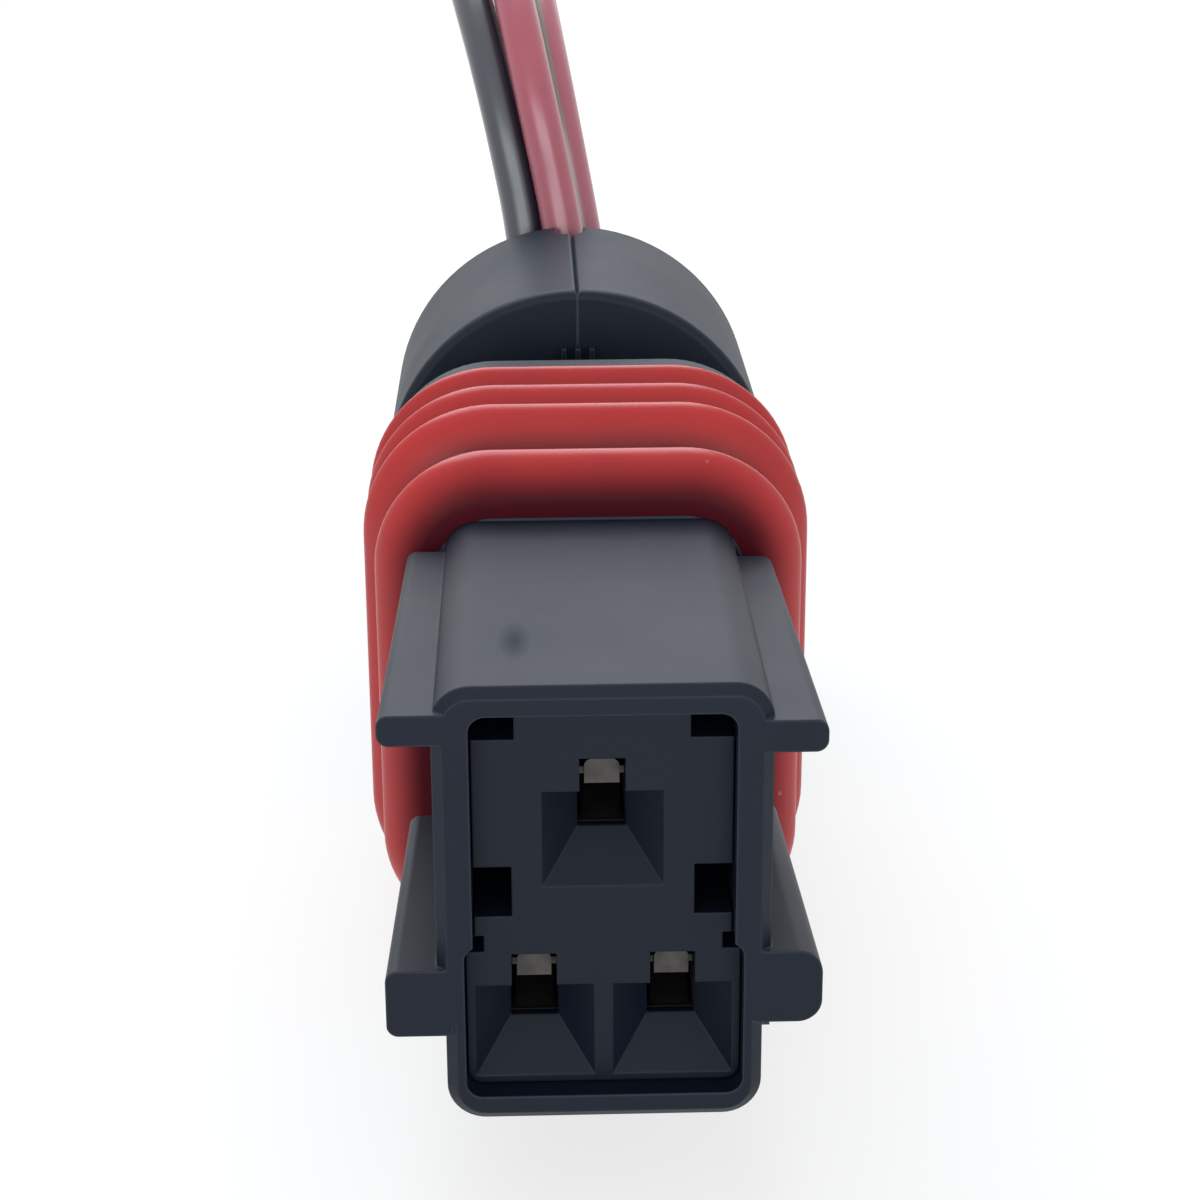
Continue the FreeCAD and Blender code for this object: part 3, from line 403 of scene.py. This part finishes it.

# %% [markdown]
# ## The wires, each with its bare end
# A tube along each line makes the skin. The stripe has to face the camera where the wire rises out
# of the cover, so the UV map is turned until its middle points that way. At the far end a bundle of
# bare strands sticks out, and the frame's own wire and tip are hidden.

# %% Wires with their bare ends
AROUND = 40
TRACER_TURN = 0.03
TIP_OVERLAP = 0.2 * MM
RISES_ABOVE_Z = 22 * MM
RISES_BEFORE_Y = 32 * MM
FIRST_SIDE = (1, 0, 0)
for name, line in lines.items():
    rising = (line[:, 1] < RISES_BEFORE_Y) & (line[:, 2] > RISES_ABOVE_Z)
    facing = int(np.argmax(rising))
    _, side, other = carried_frames(line, FIRST_SIDE)
    to_camera = np.array(CAMERA_PLACE) - line[facing]
    turn = math.atan2(-(other[facing] @ to_camera), side[facing] @ to_camera) / (2 * np.pi)
    start = 0.5 - turn - TRACER_TURN
    u = np.arange(AROUND + 1) / AROUND + start - math.floor(start)
    uv = np.stack(np.broadcast_arrays(u[None, :], distance_along(line)[:, None] / MM), -1)
    faces = grid_quads(len(line), AROUND).tolist() + end_caps(len(line), AROUND).tolist()
    tube = tube_points(line, WIRE_DIAMETER / 2 * MM, AROUND, FIRST_SIDE)
    skin = mesh_of("insulated_wire_" + name, tube, faces)
    lay_uv(skin, uv)
    wire = new_piece("insulated_wire_" + name, skin, INSULATION[name])
    end_direction = line[-1] - line[-2]
    end_direction /= np.linalg.norm(end_direction)
    tip = strands("bare_strands_" + name, line[-1] - TIP_OVERLAP * end_direction,
                  line[-1] + BARE_END * MM * end_direction)
    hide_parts("bare_tip_" + name)
    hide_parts("wire_" + name)
    print("wire", name, "%.1f mm," % (length_of(line) / MM), len(wire.data.polygons), "faces")

# %% [markdown]
# ## The perimeter seal: moulded silicone
# The seal is a sleeve of soft silicone with a low lip in front and three ribs, stretched over the
# rounded rectangle behind the nose. Its section is a height over the sleeve that depends on the
# distance along Y: a base plus one smooth hump per rib. That section is carried round the rounded
# rectangle, and each point stands off from it by its height, so the ribs turn the corners in wide
# arcs as soft rubber does. The low parts, in the grooves and along the nose, carry painted shade:
# their colour is darker and their reflection weaker, and the crests are left unshaded.

# %% Silicone material
# Heights, as shares of the highest crest, over which the painted shade of the low parts fades out.
FULL_SHADE_HEIGHT = 0.18
UNSHADED_HEIGHT = 0.8


def silicone(name, colour, deep, groove_shade=None):
    """Oiled silicone: cloudy red, a soft sheen, a little light scattered under the skin, the fine
    matt grain of an eroded mould, and a rare speck of pale dust that the oil holds. With a groove
    colour, the low parts get painted shade, a darker colour and a weaker reflection, by the height
    that the UV map's V stores."""
    material, tree, output = new_material(name)
    place = add(tree, "ShaderNodeTexCoord")
    cloud = add(tree, "ShaderNodeTexNoise", {"Vector": place.outputs["Object"], "Scale": 1 / (3.5 * MM),
                                             "Detail": 3.0})
    tone = add(tree, "ShaderNodeMix", {"Factor": cloud.outputs["Fac"], "A": linear(deep),
                                       "B": linear(colour)}, data_type="RGBA")
    grain = add(tree, "ShaderNodeTexNoise", {"Vector": place.outputs["Object"], "Scale": 1 / (0.12 * MM),
                                             "Detail": 2.0})
    bump = add(tree, "ShaderNodeBump", {"Height": grain.outputs["Fac"], "Strength": 0.2,
                                        "Distance": 0.01 * MM})
    gloss = add(tree, "ShaderNodeMapRange", {"Value": cloud.outputs["Fac"], "To Min": 0.24, "To Max": 0.38})
    cells = add(tree, "ShaderNodeTexVoronoi", {"Vector": place.outputs["Object"], "Scale": 1 / (1.5 * MM)})
    chosen = add(tree, "ShaderNodeSeparateColor", {"Color": cells.outputs["Color"]})
    rare = add(tree, "ShaderNodeMath", {0: chosen.outputs["Red"], 1: 0.9}, operation="GREATER_THAN")
    near = add(tree, "ShaderNodeMapRange", {"Value": cells.outputs["Distance"], "From Min": 0.09,
                                            "From Max": 0.04, "To Min": 0.0, "To Max": 0.5})
    dust = add(tree, "ShaderNodeMath", {0: rare.outputs["Value"], 1: near.outputs["Result"]},
               operation="MULTIPLY")
    dusty = add(tree, "ShaderNodeMix", {"Factor": dust.outputs["Value"], "A": tone.outputs["Result"],
                                        "B": linear("#d9a19c")}, data_type="RGBA")
    skin, sheen = dusty.outputs["Result"], 0.5
    # Painted shade: below the lower height the colour is the groove colour and the reflection is weak, fading
    # to plain silicone at the upper height, for the shade in the grooves and along the nose.
    if groove_shade:
        height = add(tree, "ShaderNodeSeparateXYZ", {"Vector": place.outputs["UV"]})
        unshaded_share = add(tree, "ShaderNodeMapRange", {"Value": height.outputs["Y"], "From Min": FULL_SHADE_HEIGHT,
                                                 "From Max": UNSHADED_HEIGHT, "To Min": 0.0, "To Max": 1.0},
                    interpolation_type="SMOOTHSTEP")
        painted_shade = add(tree, "ShaderNodeMix", {"Factor": unshaded_share.outputs["Result"], "A": linear(groove_shade),
                                            "B": skin}, data_type="RGBA")
        shaded_sheen = add(tree, "ShaderNodeMapRange", {"Value": unshaded_share.outputs["Result"], "To Min": 0.03,
                                                  "To Max": 0.6})
        skin, sheen = painted_shade.outputs["Result"], shaded_sheen.outputs["Result"]
    surface = add(tree, "ShaderNodeBsdfPrincipled", {
        "Base Color": skin, "Roughness": gloss.outputs["Result"], "IOR": 1.41, "Specular IOR Level": sheen,
        "Subsurface Weight": 0.15, "Subsurface Radius": (1.0, 0.25, 0.15), "Subsurface Scale": 0.6 * MM,
        "Normal": bump.outputs["Normal"]})
    tree.links.new(surface.outputs["BSDF"], output.inputs["Surface"])
    return material


# Silicone has an index of 1.41 and lets some of the light in: the edges of the ribs look soft and
# warm, and their crests carry a pale, broad sheen.
# Its groove colour, 4c141c, is painted shade for the seal's grooves and for its foot along the nose.
SEAL_SILICONE = silicone("moulded_silicone_ribbed", "#bd2b29", "#a82326", groove_shade="#4c141c")
WIRE_SEAL_SILICONE = silicone("moulded_silicone", "#b62a29", "#a22226")
print("silicones:", SEAL_SILICONE.name, WIRE_SEAL_SILICONE.name)

# %% [markdown]
# ## The seal's section, carried round
# The section is worked out once, for 150 places along Y, and the rounded rectangle once, with its
# normals. Their product is the whole surface as one array. The UV map stores the share of the turn
# and the share of the highest crest, which the material reads.

# %% The seal's surface
SEAL_START_Y, SEAL_END_Y = -8.0, 4.2
LAND_WIDTH, LAND_HEIGHT, LAND_CORNER = 11.8, 15.8, 2.3
MIDDLE_Z = 10.85
SLEEVE = 0.6
SEAL_HUMPS = ((-6.7, 2.3, 1.3), (-2.65, 2.95, 1.35), (0.2, 2.95, 1.3), (3.05, 2.95, 1.15))


def seal_height(y):
    """Sleeve plus humps. Each hump is (1 - |distance / half width| ** 1.7) ** 0.9 of its height, and
    where two meet, the higher one holds."""
    height = np.full_like(y, SLEEVE)
    for crest_y, crest, half in SEAL_HUMPS:
        inside = np.clip(1 - np.abs((y - crest_y) / half) ** 1.7, 0, 1)
        height = np.maximum(height, SLEEVE + (crest - SLEEVE) * inside ** 0.9)
    return height


def rounded_rectangle(width, height, corner, arc_steps=20, side_steps=16):
    """Points of a rounded rectangle and their outward normals, as (x, z), anticlockwise from +X. A
    corner is its centre plus the radius times the normal, and a side is shared out evenly."""
    centres = np.array([(1, 1), (-1, 1), (-1, -1), (1, -1)]) * [width / 2 - corner, height / 2 - corner]
    angle = np.linspace(0, np.pi / 2, arc_steps)[None] + (np.pi / 2) * np.arange(4)[:, None]
    normal = np.stack([np.cos(angle), np.sin(angle)], -1)
    arcs = centres[:, None] + corner * normal
    share = (np.arange(side_steps) + 1) / (side_steps + 1)
    following = np.roll(arcs[:, 0], -1, axis=0)
    sides = arcs[:, -1][:, None] * (1 - share)[None, :, None] + following[:, None] * share[None, :, None]
    side_normals = np.repeat(normal[:, -1][:, None], side_steps, axis=1)
    outline = np.concatenate([arcs, sides], axis=1).reshape(-1, 2)
    return outline, np.concatenate([normal, side_normals], axis=1).reshape(-1, 2)


outline, outward = rounded_rectangle(LAND_WIDTH, LAND_HEIGHT, LAND_CORNER)
SECTION_STEPS = 150
profile_y = np.linspace(SEAL_START_Y, SEAL_END_Y, SECTION_STEPS)
profile_height = seal_height(profile_y)
section_y = np.r_[SEAL_START_Y, profile_y, SEAL_END_Y]
section_height = np.r_[0.0, profile_height, 0.0]
ring = outline[:, None] + section_height[None, :, None] * outward[:, None]
along_y = np.broadcast_to(section_y, ring.shape[:2])
seal_points = np.stack([ring[..., 0], along_y, ring[..., 1] + MIDDLE_Z], -1) * MM
seal_quads = grid_quads(*seal_points.shape[:2], closed_along=True).tolist()
seal_mesh = mesh_of("ribbed_seal", seal_points[:, ::-1], seal_quads)
turn_share = np.linspace(0, 1, len(outline) + 1)
height_share = np.append(section_height[::-1], section_height[-1]) / section_height.max()
lay_uv(seal_mesh, np.stack(np.broadcast_arrays(turn_share[:, None], height_share[None, :]), -1))
seal = new_piece("ribbed_seal", seal_mesh, SEAL_SILICONE)
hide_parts("perimeter_seal")
print("seal:", len(seal.data.polygons), "faces, crests stand", profile_height.max(), "mm over the land")

# %% [markdown]
# ## Moulded plastics
# The housing and its front lock are glass-filled PBT, a hard polyester that takes a satin skin from
# the mould. It is almost black, and most of what the eye sees on it is the pale room reflected at a
# low angle: the top of the nose looks grey, and the front, seen square on, stays dark. Under the
# satin there is a slow waviness where the melt shrank, and a fine grain from the spark-eroded tool.
# Edges are never sharp on a moulding, so the shader rounds the normals near each edge by a tenth of
# a millimetre.

# %% Moulded plastic material
MARK_SHAPE = (3.0, 0.9, 0.6)
NO_MARK = (0, 0, -50)


def moulded_plastic(name, colour, paler, edge_wear_and_highlight, roughness, edge_mm, ior, mark_mm=NO_MARK):
    """Satin moulding: two close tones in soft clouds, paler near edges from rubbed wear and a painted
    edge highlight, spark grain and slow sink waves as bump, on normals rounded near edges, and one
    dark greasy mark at mark_mm."""
    material, tree, output = new_material(name)
    place = add(tree, "ShaderNodeTexCoord")
    cloud = add(tree, "ShaderNodeTexNoise", {"Vector": place.outputs["Object"], "Scale": 1 / (5 * MM),
                                             "Detail": 4.0, "Roughness": 0.6})
    grain = add(tree, "ShaderNodeTexNoise", {"Vector": place.outputs["Object"], "Scale": 1 / (0.09 * MM),
                                             "Detail": 2.0})
    waves = add(tree, "ShaderNodeTexNoise", {"Vector": place.outputs["Object"], "Scale": 1 / (2.2 * MM),
                                             "Detail": 1.0})
    rounded = add(tree, "ShaderNodeBevel", {"Radius": edge_mm * MM}, samples=6)
    flat = add(tree, "ShaderNodeNewGeometry")
    turn = add(tree, "ShaderNodeVectorMath", {0: rounded.outputs["Normal"], 1: flat.outputs["Normal"]},
               operation="DOT_PRODUCT")
    # Paler near edges: partly rubbed wear, partly a painted edge highlight.
    wear_and_highlight_share = add(tree, "ShaderNodeMapRange", {"Value": turn.outputs["Value"], "From Min": 0.99, "From Max": 0.8,
                                           "To Min": 0.0, "To Max": 0.55})
    body = add(tree, "ShaderNodeMix", {"Factor": cloud.outputs["Fac"], "A": linear(colour),
                                       "B": linear(paler)}, data_type="RGBA")
    edges = add(tree, "ShaderNodeMix", {"Factor": wear_and_highlight_share.outputs["Result"], "A": body.outputs["Result"],
                                        "B": linear(edge_wear_and_highlight)}, data_type="RGBA")
    to_mark = add(tree, "ShaderNodeVectorMath", {0: place.outputs["Object"],
                                                 1: tuple(v * MM for v in mark_mm)}, operation="SUBTRACT")
    spread = add(tree, "ShaderNodeVectorMath", {0: to_mark.outputs["Vector"], 1: MARK_SHAPE},
                 operation="MULTIPLY")
    reach = add(tree, "ShaderNodeVectorMath", {0: spread.outputs["Vector"]}, operation="LENGTH")
    mark = add(tree, "ShaderNodeMapRange", {"Value": reach.outputs["Value"], "From Min": 1.7 * MM,
                                            "From Max": 0.2 * MM, "To Min": 0.0, "To Max": 0.2})
    first = add(tree, "ShaderNodeBump", {"Height": grain.outputs["Fac"], "Strength": 0.12,
                                         "Distance": 0.01 * MM, "Normal": rounded.outputs["Normal"]})
    bump = add(tree, "ShaderNodeBump", {"Height": waves.outputs["Fac"], "Strength": 0.3,
                                        "Distance": 0.02 * MM, "Normal": first.outputs["Normal"]})
    gloss = add(tree, "ShaderNodeMapRange", {"Value": cloud.outputs["Fac"], "To Min": roughness - 0.06,
                                             "To Max": roughness + 0.08})
    greasy = add(tree, "ShaderNodeMath", {0: gloss.outputs["Result"], 1: mark.outputs["Result"]},
                 operation="ADD")
    surface = add(tree, "ShaderNodeBsdfPrincipled", {
        "Base Color": edges.outputs["Result"], "Roughness": greasy.outputs["Value"], "IOR": ior,
        "Normal": bump.outputs["Normal"]})
    tree.links.new(surface.outputs["BSDF"], output.inputs["Surface"])
    return material


# Glass-filled PBT: blue-black with a satin skin, and a little paler on its edges, partly from wear
# and partly as a painted edge highlight. The soft mould grain scatters most of the mirror image away,
# which a low index stands for.
PBT = moulded_plastic("glass_filled_pbt", "#060f1d", "#0d1827", "#454c59", 0.47, 0.14, 1.32,
                      mark_mm=(-2.8, -20.7, 18.65))
# Unfilled PBT: the same black with crisper edges, so the insert reads as a part of its own.
LOCK_PBT = moulded_plastic("unfilled_pbt", "#060e1a", "#0c1624", "#252c38", 0.5, 0.1, 1.32)
# Filled polypropylene: a waxy, slightly greyer black, with its edges rounder, more rubbed and carrying a
# stronger painted edge highlight.
COVER_PP = moulded_plastic("filled_polypropylene", "#111925", "#18212e", "#69707e", 0.5, 0.16, 1.29)
print("plastics:", [material.name for material in (PBT, LOCK_PBT, COVER_PP)])

# %% [markdown]
# ## Finishes on the solid pieces
# These pieces keep the frame's own mesh and only change their material. The small seals on the wires
# are the big seal's silicone, and what is inside the front crimps is the same tinned copper as the
# far ends.

# %% Finishes on the solid pieces
FINISH = {
    "connector_housing": PBT,
    "front_lock": LOCK_PBT,
    "seal_retainer": LOCK_PBT,
    "cover_half_left": COVER_PP,
    "cover_half_right": COVER_PP,
}
for name in ROUTE:
    FINISH["terminal_" + name] = TINNED_ALLOY
    FINISH["wire_seal_" + name] = WIRE_SEAL_SILICONE
    FINISH["conductor_" + name] = TINNED_STRANDS
for name, material in FINISH.items():
    solid = nodes[name]
    solid.data.materials.clear()
    solid.data.materials.append(material)
print("finishes on", len(FINISH), "solid pieces")

# %% [markdown]
# ## Floor and backdrop
# The photograph has a plain white ground, and paint alone would come out grey. So for rays that the
# camera or a mirror sends out, three quarters of the floor is a plain white glow, and the last
# quarter is the paint, which keeps the part's shadow.

# %% Floor
def seen_directly(tree):
    """1 for rays that come from the camera, or through a mirror or glass, and 0 for the light itself."""
    path = add(tree, "ShaderNodeLightPath")
    seen = add(tree, "ShaderNodeMath", {0: path.outputs["Is Camera Ray"], 1: path.outputs["Is Glossy Ray"]},
               operation="ADD")
    return add(tree, "ShaderNodeMath", {0: seen.outputs["Value"], 1: path.outputs["Is Transmission Ray"]},
               operation="ADD", use_clamp=True).outputs["Value"]


FLOOR_HALF = 3.0
GLOW_SHARE = 0.75
floor_mesh = bpy.data.meshes.new("floor")
floor_corners = [(x * FLOOR_HALF, y * FLOOR_HALF, 0) for x, y in ((-1, -1), (1, -1), (1, 1), (-1, 1))]
floor_mesh.from_pydata(floor_corners, [], [(0, 1, 2, 3)])
floor_material, tree, output = new_material("pale_floor")
place = add(tree, "ShaderNodeTexCoord")
mottle = add(tree, "ShaderNodeTexNoise", {"Vector": place.outputs["Object"], "Scale": 20.0})
paint = add(tree, "ShaderNodeMix", {"Factor": mottle.outputs["Fac"], "A": linear("#f8f8f8"),
                                    "B": linear("#fbfbfb")}, data_type="RGBA")
matt = add(tree, "ShaderNodeBsdfDiffuse", {"Color": paint.outputs["Result"]})
glow = add(tree, "ShaderNodeEmission", {"Color": (1.0, 1.0, 1.0, 1.0), "Strength": 1.0})
share = add(tree, "ShaderNodeMath", {0: seen_directly(tree), 1: GLOW_SHARE}, operation="MULTIPLY")
ground = add(tree, "ShaderNodeMixShader", {"Fac": share.outputs["Value"], 1: matt.outputs["BSDF"],
                                           2: glow.outputs["Emission"]})
tree.links.new(ground.outputs["Shader"], output.inputs["Surface"])
floor_mesh.materials.append(floor_material)
floor = bpy.data.objects.new("floor", floor_mesh)
bpy.context.scene.collection.objects.link(floor)
print("floor:", 2 * FLOOR_HALF, "m wide")

# %% [markdown]
# ## World and lamps
# The world is white to look at and less than half as strong as a light, so shiny plastic has
# something pale to mirror and the hollows stay dark. A large soft lamp overhead makes the shadow, a
# low one behind draws a pale edge along the tops, and a wide window behind the camera draws the
# bright lines on the wires.

# %% World and lamps
WORLD_LIGHT = 0.42
world = bpy.data.worlds.new("studio")
world.use_nodes = True
tree = world.node_tree
strength = add(tree, "ShaderNodeMath", {0: seen_directly(tree), 1: 1 - WORLD_LIGHT, 2: WORLD_LIGHT},
               operation="MULTIPLY_ADD")
sky = tree.nodes["Background"]
sky.inputs["Color"].default_value = (1.0, 1.0, 1.0, 1.0)
tree.links.new(strength.outputs["Value"], sky.inputs["Strength"])
bpy.context.scene.world = world


def soft_lamp(name, place_mm, target_mm, size_mm, power, colour):
    """Rectangular lamp at a place, turned to a target. Its power is in watts."""
    data = bpy.data.lights.new(name, "AREA")
    data.shape = "RECTANGLE"
    data.size, data.size_y = size_mm[0] * MM, size_mm[1] * MM
    data.energy = power
    data.color = colour
    lamp = bpy.data.objects.new(name, data)
    lamp.location = Vector(place_mm) * MM
    lamp.rotation_euler = (Vector(target_mm) - Vector(place_mm)).to_track_quat("-Z", "Y").to_euler()
    bpy.context.scene.collection.objects.link(lamp)
    return lamp


COOL = (0.88, 0.94, 1.0)
soft_lamp("overhead", (-40, 160, 300), (0, 0, 15), (300, 300), 1.18, COOL)
soft_lamp("behind", (0, 360, 170), (0, 0, 15), (520, 200), 0.22, COOL)
soft_lamp("window", (-10, -330, 85), (0, 20, 25), (420, 150), 0.6, COOL)
bpy.context.scene.view_settings.view_transform = "Standard"
